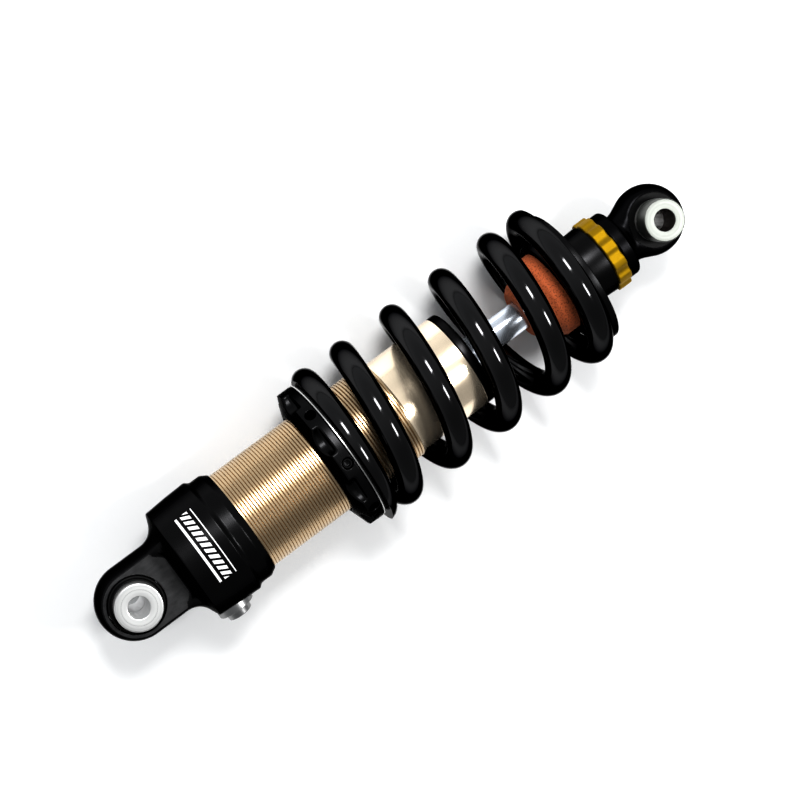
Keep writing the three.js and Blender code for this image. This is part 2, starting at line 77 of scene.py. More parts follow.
BOLT = 5.0  # radius of the bolt bore in both eyes
EYE = sum(span("rod_end_race")) / 2  # X of the rod-end eye
LUG_HALF = 11.0
LUG_RADIUS = 17.8
LUG_EYE = 13.2
SLEEVE_HALF, SLEEVE_RADIUS = 19.0, 10.9
SEAL_OUTER = 12.9  # radius of the seal lips in both eyes
SPACER_HALF, SPACER_RADIUS = 22.5, 10.0
CAP_BACK, CAP_START, CAP_END = 22.5, 26.9, 48.6
NECK_START, NECK_ROUND, NECK_END = 50.6, 56.2, span("body_cap")[1]
PLUG_X = sum(span("gas_plug")) / 2
TUBE_START, TUBE_END = span("damper_tube")
SOCKET_FLOOR, SOCKET_RADIUS = TUBE_START - 2.7, 24.7  # inside the cap
HEAD_FLANGE, HEAD_RECESS = 182.3, 3.9  # X of the seal head's flange, and depth of the wiper's seat
ROD_RADIUS, ROD_BORE = 7.0, 2.6
AROUND_ROD = 7.3  # bore of what is fitted on the rod
THREAD = dict(start=NECK_END - 1.7, end=146.0, pitch=1.5, crest=25.0, root=24.5)
TUBE_PLAIN, TUBE_BORE = 23.7, 22.0
RING_FRONT, RING_END = span("preload_ring")
RING_RADIUS = 36.0
RING_BORE = 25.3
RING_HOLE_X, RING_HOLE = 109.8, 2.65
POCKET = dict(centre=RING_RADIUS + 2, radius=7.6, rim=4)  # rim is the width left on the spring's side
SPRING_START, SPRING_END = span("spring")
SPRING = dict(wire=6.0, mean=34.0, end_pitch=12.4, pitch=28.4, tip=2.4, closed=0.75, ramp=0.75)
RETAINER_START, RETAINER_END = span("seat_retainer")
ADJUSTER_START, ADJUSTER_END = span("rebound_adjuster_ring")
ADJUSTER_RADIUS = 18.5
COLLAR_START, COLLAR_END = ADJUSTER_END + 0.3, 277.6
HEAD_RADIUS, HEAD_HALF, HEAD_BORE = 17.0, 9.5, 13.0

# ---- meshes ----


def piece_from(name, vertices, faces, sharp=30):
    """A smooth-shaded object from vertices in millimetres, with edges over the angle kept sharp."""
    mesh = bpy.data.meshes.new(name)
    mesh.from_pydata((np.asarray(vertices, float) * MM).tolist(), [], faces)
    bm = bmesh.new()
    bm.from_mesh(mesh)
    bmesh.ops.remove_doubles(bm, verts=bm.verts, dist=1e-7)
    bmesh.ops.dissolve_degenerate(bm, edges=bm.edges, dist=1e-8)
    bmesh.ops.recalc_face_normals(bm, faces=bm.faces)
    bm.to_mesh(mesh)
    bm.free()
    mesh.shade_smooth()
    mesh.set_sharp_from_angle(angle=math.radians(sharp))
    piece = bpy.data.objects.new(name, mesh)
    bpy.context.scene.collection.objects.link(piece)
    return piece


def rounded(outline):
    """The closed outline's points, where each corner (along, radius, fillet) becomes an arc."""
    points = []
    count = len(outline)
    for i, corner in enumerate(outline):
        here = np.array(corner[:2], float)
        fillet = corner[2] if len(corner) > 2 else 0
        if not fillet:
            points.append(here)
            continue
        before = np.array(outline[i - 1][:2], float) - here
        after = np.array(outline[(i + 1) % count][:2], float) - here
        room = 0.49 * min(np.linalg.norm(before), np.linalg.norm(after))
        before /= np.linalg.norm(before)
        after /= np.linalg.norm(after)
        half = 0.5 * math.acos(float(np.clip(before @ after, -1, 1)))
        length = min(fillet / math.tan(half), room)
        radius = length * math.tan(half)
        middle = before + after
        centre = here + middle / np.linalg.norm(middle) * radius / math.sin(half)
        first = here + before * length - centre
        last = here + after * length - centre
        steps = max(2, math.ceil((math.pi - 2 * half) / math.radians(11)))
        sweep = math.atan2(first[0] * last[1] - first[1] * last[0], float(first @ last))
        for s in range(steps + 1):
            a = sweep * s / steps
            c, d = math.cos(a), math.sin(a)
            points.append(centre + [first[0] * c - first[1] * d, first[0] * d + first[1] * c])
    return np.array(points)


def lathe(name, outline, axis="X", at=0.0, sides=160, sharp=30):
    """An outline of (along, radius, fillet) corners turned about X, about the Z of an eye or about -Y."""
    points = rounded(outline)
    angles = 2 * math.pi * np.arange(sides) / sides
    along = np.repeat(points[:, 0], sides)
    across = np.outer(points[:, 1], np.cos(angles)).ravel()
    upright = np.outer(points[:, 1], np.sin(angles)).ravel()
    if axis == "X":
        vertices = np.stack([along, across, upright], 1)
    elif axis == "Z":
        vertices = np.stack([at + across, upright, along], 1)
    else:
        vertices = np.stack([at + across, -along, upright], 1)
    faces = []
    count = len(points)
    for i in range(count):
        j = (i + 1) % count
        if points[i][1] == 0 and points[j][1] == 0:
            continue
        for k in range(sides):
            m = (k + 1) % sides
            faces.append((i * sides + k, i * sides + m, j * sides + m, j * sides + k))
    return piece_from(name, vertices, faces, sharp)


def outline_distance(px, py, outline):
    """Signed distance to a closed outline, negative inside."""
    best = np.full(np.shape(px), np.inf)
    inside = np.zeros(np.shape(px), bool)
    for (ax, ay), (bx, by) in zip(outline, np.roll(outline, -1, axis=0)):
        ex, ey = bx - ax, by - ay
        wx, wy = px - ax, py - ay
        t = np.clip((wx * ex + wy * ey) / (ex * ex + ey * ey), 0, 1)
        best = np.minimum(best, (wx - t * ex) ** 2 + (wy - t * ey) ** 2)
        if ey:
            inside ^= ((ay > py) != (by > py)) & (px < ax + (py - ay) / ey * ex)
    return np.where(inside, -1, 1) * np.sqrt(best)


class Turned:
    """Signed distance to an outline turned about X, read from a fine map when there are many points."""

    def __init__(self, outline, step=0.15):
        self.outline = rounded(outline)
        self.step = step
        self.low = self.outline.min(0) - 6
        high = self.outline.max(0) + 12
        count = np.ceil((high - self.low) / step).astype(int)
        px, py = np.meshgrid(*[self.low[i] + step * np.arange(count[i]) for i in (0, 1)], indexing="ij")
        self.map = outline_distance(px, py, self.outline)

    def __call__(self, x, radius):
        x, radius = np.broadcast_arrays(x, radius)
        if x.ndim < 3:
            return outline_distance(x, radius, self.outline)
        u = np.clip((x - self.low[0]) / self.step, 0, self.map.shape[0] - 1.001)
        v = np.clip((radius - self.low[1]) / self.step, 0, self.map.shape[1] - 1.001)
        i, j = u.astype(int), v.astype(int)
        u, v = u - i, v - j
        near = self.map[i, j] * (1 - v) + self.map[i, j + 1] * v
        far = self.map[i + 1, j] * (1 - v) + self.map[i + 1, j + 1] * v
        return near * (1 - u) + far * u


def join(a, b, k):
    """Union of two distances with a fillet of about k."""
    h = np.maximum(k - np.abs(a - b), 0) / k
    return np.minimum(a, b) - h * h * k / 4


def meet(a, b, k):
    """Intersection of two distances with an edge rounded by about k."""
    return -join(-a, -b, k)


def net(name, distance, low, high, step):
    """A closed mesh of the surface where distance is zero, with normals from its gradient."""
    axes = [np.arange(a, b + step, step) for a, b in zip(low, high)]
    field = distance(*np.meshgrid(*axes, indexing="ij", sparse=True))
    inside = field < 0
    cells_shape = tuple(n - 1 for n in field.shape)
    count = np.zeros(cells_shape, np.int8)
    for corner in np.ndindex(2, 2, 2):
        count += inside[tuple(slice(c, c + n) for c, n in zip(corner, cells_shape))]
    active = (count > 0) & (count < 8)
    index = np.full(cells_shape, -1, np.int64)
    index[active] = np.arange(active.sum())
    cells = np.argwhere(active)
    total = np.zeros(cells.shape)
    hits = np.zeros(len(cells))
    for axis in range(3):
        across = [a for a in range(3) if a != axis]
        along = np.eye(3, dtype=int)[axis]
        for offset in np.ndindex(2, 2):
            start = cells.copy()
            start[:, across[0]] += offset[0]
            start[:, across[1]] += offset[1]
            near = field[tuple(start.T)]
            far = field[tuple((start + along).T)]
            crossing = (near < 0) != (far < 0)
            t = near[crossing] / (near[crossing] - far[crossing])
            total[crossing] += start[crossing] + t[:, None] * along
            hits[crossing] += 1
    points = np.array(low) + step * total / hits[:, None]
    small = 0.02
    for _ in range(3):
        value, slope = with_slope(distance, points, small)
        move = value[:, None] * slope / np.maximum((slope**2).sum(1), 0.2)[:, None]
        points -= np.clip(move, -0.5 * step, 0.5 * step)
    _, slope = with_slope(distance, points, small)
    normals = slope / np.linalg.norm(slope, axis=1)[:, None]
    faces = []
    for axis in range(3):
        one, two = [a for a in range(3) if a != axis]
        if axis == 1:
            one, two = two, one
        lower = [slice(None)] * 3
        upper = [slice(None)] * 3
        lower[axis], upper[axis] = slice(None, -1), slice(1, None)
        enters = inside[tuple(lower)]
        edges = np.argwhere(enters != inside[tuple(upper)])
        edges = edges[(edges[:, one] > 0) & (edges[:, two] > 0)]
        leaves = enters[tuple(edges.T)]
        back_one = np.eye(3, dtype=int)[one]
        back_two = np.eye(3, dtype=int)[two]
        ring = [edges, edges - back_one, edges - back_one - back_two, edges - back_two]
        quad = np.stack([index[tuple(corner.T)] for corner in ring], 1)
        quad[~leaves] = quad[~leaves][:, ::-1]
        faces.append(quad)
    faces = np.concatenate(faces)
    mesh = bpy.data.meshes.new(name)
    mesh.vertices.add(len(points))
    mesh.vertices.foreach_set("co", (points * MM).astype(np.float32).ravel())
    mesh.loops.add(faces.size)
    mesh.loops.foreach_set("vertex_index", faces.astype(np.int32).ravel())
    mesh.polygons.add(len(faces))
    mesh.polygons.foreach_set("loop_start", np.arange(0, faces.size, 4, dtype=np.int32))
    mesh.update(calc_edges=True)
    mesh.validate()
    mesh.shade_smooth()
    mesh.normals_split_custom_set_from_vertices(normals.astype(np.float32).tolist())
    piece = bpy.data.objects.new(name, mesh)
    bpy.context.scene.collection.objects.link(piece)
    return piece


def with_slope(distance, points, small):
    """The distance and its gradient at some points."""
    x, y, z = points.T
    slope = np.stack(
        [
            distance(x + small, y, z) - distance(x - small, y, z),
            distance(x, y + small, z) - distance(x, y - small, z),
            distance(x, y, z + small) - distance(x, y, z - small),
        ],
        1,
    )
    return distance(x, y, z), slope / (2 * small)


def folded(y, z, sectors):
    """Coordinates across and along the nearest of some equal sectors round X, counted from +Z."""
    width = 2 * math.pi / sectors
    angle = np.arctan2(y, z)
    inner = np.abs((angle + width / 2) % width - width / 2)
    radius = np.hypot(y, z)
    return radius * np.sin(inner), radius * np.cos(inner)


# ---- finishes ----


def finish(
    name,
    colour,
    metallic=0.0,
    roughness=0.4,
    spread=0.05,
    grain=0.0,
    grain_size=0.3,
    stretch=(1, 1, 1),
    shade=0.08,
    speckle=0.0,
    turned_about=None,
    **sockets,
):
    """A material whose roughness, colour and surface vary by noise, in rings if turned about an eye.

    grain_size and turned_about, the X of the eye, are in millimetres.
    """
    material = bpy.data.materials.new(name)
    material.use_nodes = True
    nodes, links = material.node_tree.nodes, material.node_tree.links
    nodes.clear()
    output = nodes.new("ShaderNodeOutputMaterial")
    shader = nodes.new("ShaderNodeBsdfPrincipled")
    links.new(shader.outputs["BSDF"], output.inputs["Surface"])
    place = nodes.new("ShaderNodeTexCoord")
    scaled = nodes.new("ShaderNodeMapping")
    scaled.inputs["Scale"].default_value = stretch
    links.new(place.outputs["Object"], scaled.inputs["Vector"])
    spread_over = scaled.outputs["Vector"]
    if turned_about is not None:
        scaled.inputs["Location"].default_value = (-turned_about * MM, 0, 0)
        scaled.inputs["Scale"].default_value = (1, 1, 0)
        from_axis = nodes.new("ShaderNodeVectorMath")
        from_axis.operation = "LENGTH"
        links.new(spread_over, from_axis.inputs[0])
        spread_over = from_axis.outputs["Value"]

    def noise(size, detail=3.0):
        node = nodes.new("ShaderNodeTexNoise")
        node.inputs["Scale"].default_value = 1 / (size * MM)
        node.inputs["Detail"].default_value = detail
        links.new(spread_over, node.inputs["Vector"])
        return node.outputs["Fac"]

    fine = noise(grain_size)
    broad = noise(grain_size * 25)
    rough = nodes.new("ShaderNodeMapRange")
    rough.inputs["From Min"].default_value = 0.3
    rough.inputs["From Max"].default_value = 0.7
    rough.inputs["To Min"].default_value = max(0.0, roughness - spread)
    rough.inputs["To Max"].default_value = roughness + spread
    links.new(fine, rough.inputs["Value"])
    links.new(rough.outputs["Result"], shader.inputs["Roughness"])
    tint = nodes.new("ShaderNodeMix")
    tint.data_type = "RGBA"
    tint.inputs["A"].default_value = (*[c * (1 - shade) for c in colour], 1)
    tint.inputs["B"].default_value = (*[min(1, c * (1 + shade)) for c in colour], 1)
    links.new(broad, tint.inputs["Factor"])
    painted = tint.outputs["Result"]
    if speckle:
        spots = nodes.new("ShaderNodeMapRange")
        spots.inputs["From Min"].default_value = 0.34
        spots.inputs["From Max"].default_value = 0.48
        spots.inputs["To Min"].default_value = speckle
        spots.inputs["To Max"].default_value = 0.0
        links.new(fine, spots.inputs["Value"])
        dotted = nodes.new("ShaderNodeMix")
        dotted.data_type = "RGBA"
        dotted.inputs["B"].default_value = (*[c * 0.25 for c in colour], 1)
        links.new(painted, dotted.inputs["A"])
        links.new(spots.outputs["Result"], dotted.inputs["Factor"])
        painted = dotted.outputs["Result"]
    links.new(painted, shader.inputs["Base Color"])
    shader.inputs["Metallic"].default_value = metallic
    if grain:
        bump = nodes.new("ShaderNodeBump")
        bump.inputs["Strength"].default_value = grain
        bump.inputs["Distance"].default_value = 0.1 * MM
        links.new(fine, bump.inputs["Height"])
        links.new(bump.outputs["Normal"], shader.inputs["Normal"])
    for socket, value in sockets.items():
        shader.inputs[socket.replace("_", " ")].default_value = value
    return material


DARK_EDGE = (0.2, 0.2, 0.2, 1)  # reflection left at grazing angles
BLACK = ((0.014, 0.014, 0.0145), 1.0, 0.29, 0.05, 0.03, 0.25)
LOOKS = {
    "black_anodised": finish("Black_anodised", *BLACK, Specular_Tint=DARK_EDGE),
    "champagne_anodised": finish(
        "Champagne_anodised", (0.52, 0.40, 0.26), 1.0, 0.3, 0.03, 0.0, 0.3, (0.2, 1, 1)
    ),
    "gold_anodised": finish("Gold_anodised", (0.31, 0.195, 0.008), 1.0, 0.58, 0.05, 0.05, 0.2),
    "bare_aluminium": finish(
        "Bare_aluminium", (0.67, 0.67, 0.66), 1.0, 0.4, 0.14, 0.16, 0.25, turned_about=0.0, shade=0.12
    ),
    "chrome_rod": finish("Hard_chrome", (0.74, 0.79, 0.86), 0.85, 0.2, 0.02, 0.0, 0.3),
    "gloss_black_spring": finish(
        "Spring_powder_coat", (0.038, 0.038, 0.039), 1.0, 0.1, 0.02, 0.015, 0.9, Specular_Tint=DARK_EDGE
    ),
    "bright_steel": finish("Turned_steel", (0.56, 0.56, 0.55), 1.0, 0.38, 0.06, 0.05, 0.2, turned_about=EYE),
    "foam": finish("Bump_stop_foam", (0.62, 0.17, 0.06), 0.0, 0.85, 0.08, 0.9, 0.7, shade=0.3, speckle=0.75),
    "black_rubber": finish(
        "Seal_rubber", (0.003, 0.003, 0.003), 0.0, 0.45, 0.06, 0.1, 0.3, Specular_IOR_Level=0.12
    ),
    "bearing_bronze": finish("Sintered_bronze", (0.30, 0.19, 0.09), 0.8, 0.45, 0.08, 0.2, 0.3),
}
# Eye sleeve bores lightened past the sleeve's own aluminium: painted light seen down the bore.
BORE_PAINTED_LIGHT = finish("Bore_painted_light", (0.88, 0.88, 0.88), 0.9, 0.5, 0.05, 0.05, 0.15)
# Spacer bores darkened nearly to black, well below the spacer's own steel: painted shade inside the bore.
BORE_PAINTED_SHADE = finish("Bore_painted_shade", (0.06, 0.045, 0.035), 1.0, 0.5, 0.05, 0.05, 0.15)
MILLED = finish(
    "Milled_black", (0.055, 0.055, 0.056), 1.0, 0.5, 0.16, 0.3, 0.16, (1, 2, 1), 0.5, Specular_Tint=DARK_EDGE
)
FORGED = finish("Forged_black", (0.006, 0.006, 0.0065), 1.0, 0.3, 0.05, 0.05, 0.3, Specular_Tint=DARK_EDGE)
DRAWN = finish("Drawn_tube", (0.94, 0.80, 0.62), 0.85, 0.2, 0.03, 0.0, 0.3, (0.2, 1, 1))
SATIN = finish("Spacer_satin", (0.16, 0.166, 0.155), 1.0, 0.42, 0.06, 0.06, 0.25, turned_about=EYE)
DULL_STEEL = finish("Plug_steel", (0.26, 0.26, 0.26), 1.0, 0.34, 0.06, 0.05, 0.2)
PAINTED_BLACK = finish("Painted_black", *BLACK, Specular_Tint=DARK_EDGE)


def paint_bars(material):
    """White stripes and slanted bars over part of the way round X, for decoration."""
    nodes, links = material.node_tree.nodes, material.node_tree.links
    shader = next(node for node in nodes if node.type == "BSDF_PRINCIPLED")

    def of(operation, *values):
        node = nodes.new("ShaderNodeMath")
        node.operation = operation
        for socket, value in zip(node.inputs, values):
            if isinstance(value, (int, float)):
                socket.default_value = value
            else:
                links.new(value, socket)
        return node.outputs["Value"]

    def between(value, low, high):
        return of("MULTIPLY", of("GREATER_THAN", value, low), of("LESS_THAN", value, high))

    place = nodes.new("ShaderNodeTexCoord")
    apart = nodes.new("ShaderNodeSeparateXYZ")
    links.new(place.outputs["Object"], apart.inputs["Vector"])
    x, y, z = apart.outputs
    angle = of("ARCTAN2", y, z)
    slant, spacing = 0.02, math.radians(6.2)
    phase = of("PINGPONG", of("ADD", angle, of("MULTIPLY", x, slant / MM)), spacing / 2)
    bars = of("MULTIPLY", of("GREATER_THAN", phase, spacing * 0.2), between(x, 37.3 * MM, 41.3 * MM))
    stripes = of("MAXIMUM", between(x, 34.6 * MM, 35.8 * MM), between(x, 43.0 * MM, 43.5 * MM))
    part = between(angle, math.radians(-22), math.radians(50))
    mask = of("MULTIPLY", of("MAXIMUM", bars, stripes), part)
    paint = nodes.new("ShaderNodeMix")
    paint.data_type = "RGBA"
    paint.inputs["B"].default_value = (0.8, 0.8, 0.8, 1)
    links.new(shader.inputs["Base Color"].links[0].from_socket, paint.inputs["A"])
    links.new(mask, paint.inputs["Factor"])
    links.new(paint.outputs["Result"], shader.inputs["Base Color"])
    links.new(of("SUBTRACT", 1, mask), shader.inputs["Metallic"])


paint_bars(PAINTED_BLACK)


def line_bore(piece, centre, material):
    """Gives the faces of a bolt bore their own finish, which holds painted light in the eye sleeves and
    painted shade in the spacers.
    """
    piece.data.materials.append(material)
    for face in piece.data.polygons:
        if math.hypot(face.center.x - centre * MM, face.center.y) < (BOLT + 0.05) * MM:
            face.material_index = 1


def dress(piece, body, slot, *nodes, skin=None):
    """Gives a piece its finish and the body it rides on, and hides the CAD nodes that it stands for."""
    piece.data.materials.append(skin or LOOKS[slot])
    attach(piece, body)
    if nodes:
        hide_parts(*nodes)
    return piece


for subpart in frame["record"]["subparts"]:
    node = frame["nodes"][subpart["node"]]
    finish_there = LOOKS[subpart["material_slot"]]
    if not node.material_slots:
        node.data.materials.append(finish_there)
    for material_slot in node.material_slots:
        material_slot.material = finish_there

# ---- body-end cap ----

CAP_WALL = Turned(
    [
        (CAP_BACK, -12),
        (CAP_BACK, 17.5, 0.5),
        (CAP_START, 28.1, 0.5),
        (0.5 * (CAP_START + CAP_END), 28.9, 20),
        (CAP_END, 29.3, 0.7),
        (NECK_START, 27.7, 1.8),
        (NECK_ROUND, 27.7, 2.2),
        (NECK_END, 25.7, 0.5),
        (NECK_END, 25.1, 0.1),
        (NECK_END - 2.0, 25.1),
        (NECK_END - 2.0, SOCKET_RADIUS),
        (SOCKET_FLOOR, SOCKET_RADIUS),
        (SOCKET_FLOOR, -12),
    ]
)


def cap_distance(x, y, z):
    bulge = 26.4  # radius of the barrel-shaped sides
    beyond = np.hypot(x - np.clip(x, 0, CAP_BACK + 2), y)
    sides = np.hypot(beyond + bulge - LUG_RADIUS, z) - bulge
    lug = meet(sides, np.abs(z) - LUG_HALF, 0.5)
    wide = np.clip((np.abs(y) - 9) / 6, 0, 1)
    solid = join(lug, CAP_WALL(x, np.hypot(y, z)), 0.7 + 5.5 * wide * wide * (3 - 2 * wide))
    solid = meet(solid, LUG_EYE - np.hypot(x, y), 0.5)
    from_plug = np.hypot(x - PLUG_X, z)
    spot = np.maximum(from_plug - 9.15, y + 26.7)
    return meet(solid, -spot, 0.3)


cap = net(
    "cap_casting",
    cap_distance,
    (-18.6, -30.2, -30.2),
    (60.4, 30.2, 30.2),
    0.42,
)
dress(cap, "damper_body", "black_anodised", "body_cap", skin=PAINTED_BLACK)
cap.data.materials.append(MILLED)
for face in cap.data.polygons:
    if abs(face.normal.z) > 0.995 and abs(abs(face.center.z) - LUG_HALF * MM) < 0.05 * MM:
        face.material_index = 1

plug = lathe(
    "gas_plug_stepped",
    [
        (24.0, 0),
        (24.0, 4.5),
        (26.9, 4.5),
        (26.9, 8.75, 0.25),
        (30.6, 8.75, 0.35),
        (30.6, 6.0, 0.2),
        (33.9, 5.8, 0.4),
        (33.9, 2.5, 0.1),
        (31.6, 2.5),
        (31.6, 0),
    ],
    "Y",
    PLUG_X,
    96,
)
dress(plug, "damper_body", "bright_steel", "gas_plug", skin=DULL_STEEL)

# ---- body-end eye ----

for end, side in (("top", 1), ("bottom", -1)):
    sleeve = lathe(
        f"eye_sleeve_{end}_turned",
        [
            (side * 0.15, BOLT, 0.4),
            (side * 0.15, 8.0),
            (side * (LUG_HALF + 0.3), 8.0),
            (side * (LUG_HALF + 0.3), SLEEVE_RADIUS, 0.3),
            (side * SLEEVE_HALF, SLEEVE_RADIUS, 0.6),
            (side * SLEEVE_HALF, BOLT, 0.4),
        ],
        "Z",
        0.0,
        128,
    )
    dress(sleeve, "body_eye_sleeve", "bare_aluminium", f"body_eye_sleeve_{end}")
    # the sleeve's bore carries painted light
    line_bore(sleeve, 0, BORE_PAINTED_LIGHT)
    lip = lathe(
        f"eye_seal_{end}_lip",
        [
            (side * 8.3, 8.6),
            (side * 8.3, SEAL_OUTER),
            (side * 10.9, SEAL_OUTER, 0.6),
            (side * 10.9, 11.9, 0.5),
            (side * 10.0, 11.6, 0.4),
            (side * 10.4, 9.4, 0.5),
            (side * 9.8, 8.6),
        ],
        "Z",
        0.0,
        128,
    )
    dress(lip, "damper_body", "black_rubber", f"body_eye_seal_{end}")

# ---- damper tube ----

tube = lathe(
    "tube_drawn",
    [
        (TUBE_START, TUBE_BORE),
        (TUBE_START, THREAD["root"] - 0.05),
        (THREAD["end"] - 0.4, THREAD["root"] - 0.05),
        (THREAD["end"] + 1.2, TUBE_PLAIN),
        (TUBE_END, TUBE_PLAIN, 0.3),
        (TUBE_END, TUBE_BORE),
    ],
    sides=192,
)
dress(tube, "damper_body", "champagne_anodised", "damper_tube", skin=DRAWN)


def thread(name, start, end, pitch, crest, root):
    """A right-hand thread as one ribbon, a pitch wide, wound along X from root to root."""
    sides = 160
    across = [(0.0, root), (0.16, crest - 0.06), (0.24, crest), (0.76, crest), (0.84, crest - 0.06)]
    count = len(across)
    steps = round((end - start) / pitch - 1) * sides
    vertices = []
    for s in range(steps + sides + 1):
        turns = s / sides
        angle = -2 * math.pi * turns
        for share, radius in across:
            at = turns + share
            fade = min(1.0, at / 0.15, max(0.0, (steps / sides + 1 - at) / 1.2))
            r = root - 0.1 + (radius - root + 0.1) * fade
            x = start + pitch * at
            vertices.append((x, r * math.sin(angle), r * math.cos(angle)))
    faces = []
    for s in range(steps):
        here, there, next_turn = s * count, (s + 1) * count, (s + sides) * count
        for j in range(count - 1):
            faces.append((here + j, there + j, there + j + 1, here + j + 1))
        last = count - 1
        faces.append((here + last, there + last, next_turn + count, next_turn))
    used = (steps + sides) * count + 1
    return piece_from(name, vertices[:used], faces, 20)


tube_thread = thread("tube_thread", **THREAD)
dress(tube_thread, "damper_body", "champagne_anodised")

head_end = span("seal_head")[1]
seal_head = lathe(
    "seal_head_turned",
    [
        (160.0, 7.6),
        (160.0, 21.6),
        (HEAD_FLANGE, 21.6),
        (HEAD_FLANGE, 23.7, 0.3),
        (head_end, 23.7, 1.1),
        (head_end, 19.0, 0.3),
        (head_end - 0.8, 18.4, 0.3),
        (head_end - 0.8, 12.5, 0.3),
        (head_end, 12.0, 0.3),
        (head_end, 10.5, 0.4),
        (head_end - HEAD_RECESS, 10.5),
        (head_end - HEAD_RECESS, 7.6),
    ],
)
dress(seal_head, "damper_body", "black_anodised", "seal_head")
wiper_end = span("rod_wiper")[1]
wiper = lathe(
    "rod_wiper_lip",
    [
        (wiper_end - 4.0, 7.3),
        (wiper_end - 4.0, 10.2),
        (wiper_end - 0.7, 10.2, 0.4),
        (wiper_end - 0.6, 8.9, 0.3),
        (wiper_end, 8.1, 0.3),
        (wiper_end, 7.3, 0.15),
    ],
)
dress(wiper, "damper_body", "black_rubber", "rod_wiper")

# ---- preload ring, its screw and the washer ----

RING_WALL = Turned(
    [
        (RING_FRONT, RING_BORE, 0.3),
        (RING_FRONT, 26.5, 0.4),
        (106.0, RING_RADIUS, 0.6),
        (RING_END, RING_RADIUS, 0.5),
        (RING_END, RING_BORE, 0.3),
    ]
)


def ring_distance(x, y, z):
    across, out = folded(y, z, 8)
    middle = math.radians(22.5)
    pocket_y = POCKET["centre"] * math.sin(middle)
    pocket_z = POCKET["centre"] * math.cos(middle)
    round_pocket = np.hypot(across - pocket_y, out - pocket_z) - POCKET["radius"]
    pocket = meet(round_pocket, x - (RING_END - POCKET["rim"]), 1.6)
    solid = meet(RING_WALL(x, np.hypot(y, z)), -pocket, 0.9)
    hole = np.maximum(np.hypot(x - RING_HOLE_X, across) - RING_HOLE, 24 - out)
    return meet(solid, -hole, 0.35)


ring = net(
    "preload_ring_milled",
    ring_distance,
    (RING_FRONT - 0.5, -36.4, -36.4),
    (RING_END + 0.5, 36.4, 36.4),
    0.36,
)
dress(ring, "preload_ring", "black_anodised", "preload_ring")


def socket_screw(name, x, low, high, radius, across_flats):
    """A set screw along Z with a hexagon socket in its top."""
    sides = 48
    vertices, faces = [], []
    loops = [(low, 0.0, 0), (low, radius, 0), (high - 0.3, radius, 0), (high, radius - 0.3, 0)]
    hexagon = across_flats / 2 / math.cos(math.radians(30))
    loops += [(high, hexagon + 0.15, 1), (high - 0.2, hexagon, 1)]
    loops += [(high - 1.8, hexagon, 1), (high - 2.2, 0.0, 0)]
    for z, r, flat in loops:
        for k in range(sides):
            a = 2 * math.pi * k / sides
            within = (a % math.radians(60)) - math.radians(30)
            reach_there = r * math.cos(math.radians(30)) / math.cos(within) if flat else r
            vertices.append((x + reach_there * math.cos(a), reach_there * math.sin(a), z))
    for i in range(len(loops) - 1):
        for k in range(sides):
            m = (k + 1) % sides
            faces.append((i * sides + k, i * sides + m, (i + 1) * sides + m, (i + 1) * sides + k))
    return piece_from(name, vertices, faces, 30)


screw = socket_screw("lock_screw_socket", RING_HOLE_X, 25.8, 35.2, 2.35, 2.6)
dress(screw, "preload_ring", "black_anodised", "preload_lock_screw")

washer_start, washer_end = span("thrust_washer")
washer_radius = reach("thrust_washer")
washer = lathe(
    "thrust_washer_ground",
    [
        (washer_start, 25.4, 0.15),
        (washer_start, washer_radius, 0.1),
        (washer_start + 0.55, washer_radius, 0.1),
        (washer_end, washer_radius - 1.1, 0.2),
        (washer_end, 25.4, 0.15),
    ],
    sides=192,
)
dress(washer, "spring_perch", "bright_steel", "thrust_washer")

# ---- spring ----


def spring_line():
    """Functions for the number of turns and for X after some turns."""
    low = SPRING_START + SPRING["tip"] - SPRING["wire"]
    high = SPRING_END - SPRING["tip"] + SPRING["wire"]
    closed, ramp = SPRING["closed"], SPRING["ramp"]
    rise = SPRING["pitch"] - SPRING["end_pitch"]

    def from_end(turns):
        s = np.clip((turns - closed) / ramp, 0, 1)
        opened = ramp * (s**3 - s**4 / 2) + np.maximum(0, turns - closed - ramp)
        return SPRING["end_pitch"] * turns + rise * opened

    end = from_end(closed + ramp)
    total = 2 * (closed + ramp) + (high - low - 2 * end) / SPRING["pitch"]

    def along(turns):
        return np.where(turns < total / 2, low + from_end(turns), high - from_end(total - turns))

    return total, along


